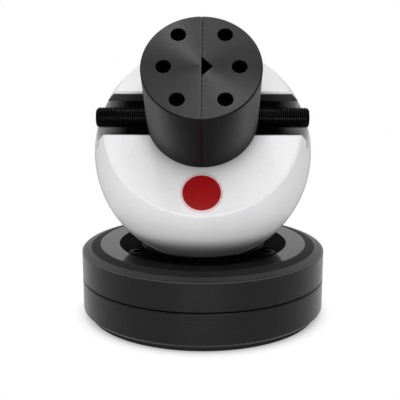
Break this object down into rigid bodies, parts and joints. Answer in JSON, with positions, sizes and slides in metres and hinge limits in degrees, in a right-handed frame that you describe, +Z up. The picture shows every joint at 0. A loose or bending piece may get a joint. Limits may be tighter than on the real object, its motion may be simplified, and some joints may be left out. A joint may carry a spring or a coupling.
{
  "type": "ball vise",
  "caption": "Small ball vise: a split round vise head with pin holes on a bright steel ball, which tilts in a black tiered turntable base.",
  "frame": {"origin": "centre of the foot pad's resting face", "axes": "+Z up along the turntable's axis; the vise head leans towards -Y, the front; the lead screw lies along X"},
  "size_m": [0.12, 0.1277, 0.1458],
  "materials": {
    "black_steel": "blackened turned steel, semi-gloss",
    "jaw_steel": "blackened turned steel, satin",
    "screw_steel": "blackened steel, satin",
    "ball_steel": "fine turned bright steel, satin",
    "bearing_steel": "ground steel",
    "bronze": "turned bronze",
    "liner": "turned black acetal, matt",
    "rubber": "moulded rubber, matt",
    "badge_red": "glossy domed resin with a pale rim"
  },
  "bodies": {
    "base": {"foot_pad": "rubber", "base_lower": "black_steel", "lower_race": "bearing_steel", "pivot_bush": "bronze", "thrust_washer": "bronze", "disc_spring": "bearing_steel"},
    "bearing": {"bearing_cage": "bronze", "bearing_balls": "bearing_steel"},
    "turntable": {"upper_race": "bearing_steel", "base_upper": "black_steel", "pivot_bolt": "bearing_steel", "seat_ring": "black_steel", "seat_liner": "liner", "seat_screws": "screw_steel"},
    "ball": {"ball_body": "ball_steel", "badge": "badge_red", "screw_yoke": "bearing_steel", "yoke_screws": "screw_steel"},
    "screw": {"lead_screw": "screw_steel"},
    "left_jaw": {"jaw_left": "jaw_steel"},
    "right_jaw": {"jaw_right": "jaw_steel"}
  },
  "joints": [
    {"name": "turntable_spin", "type": "hinge", "parent": "base", "child": "turntable", "pos_m": [0, 0, 0.01565], "axis": [0, 0, 1], "continuous": true},
    {"name": "bearing_roll", "type": "hinge", "parent": "base", "child": "bearing", "pos_m": [0, 0, 0.01565], "axis": [0, 0, 1], "continuous": true},
    {"name": "ball_tilt", "type": "hinge", "parent": "turntable", "child": "ball", "pos_m": [0, 0, 0.0799], "axis": [1, 0, 0], "range_deg": [-132.5, 27.5]},
    {"name": "screw_turn", "type": "hinge", "parent": "ball", "child": "screw", "pos_m": [0, -0.01343, 0.09903], "axis": [1, 0, 0], "range_deg": [0, 5400]},
    {"name": "left_jaw_slide", "type": "slide", "parent": "ball", "child": "left_jaw", "axis": [-1, 0, 0], "range_m": [0, 0.015]},
    {"name": "right_jaw_slide", "type": "slide", "parent": "ball", "child": "right_jaw", "axis": [1, 0, 0], "range_m": [0, 0.015]}
  ],
  "couplings": [
    {"joint": "bearing_roll", "follows": "turntable_spin", "ratio": 0.5},
    {"joint": "right_jaw_slide", "follows": "left_jaw_slide", "ratio": 1},
    {"joint": "screw_turn", "follows": "left_jaw_slide", "rad_per_m": 6283.2}
  ]
}
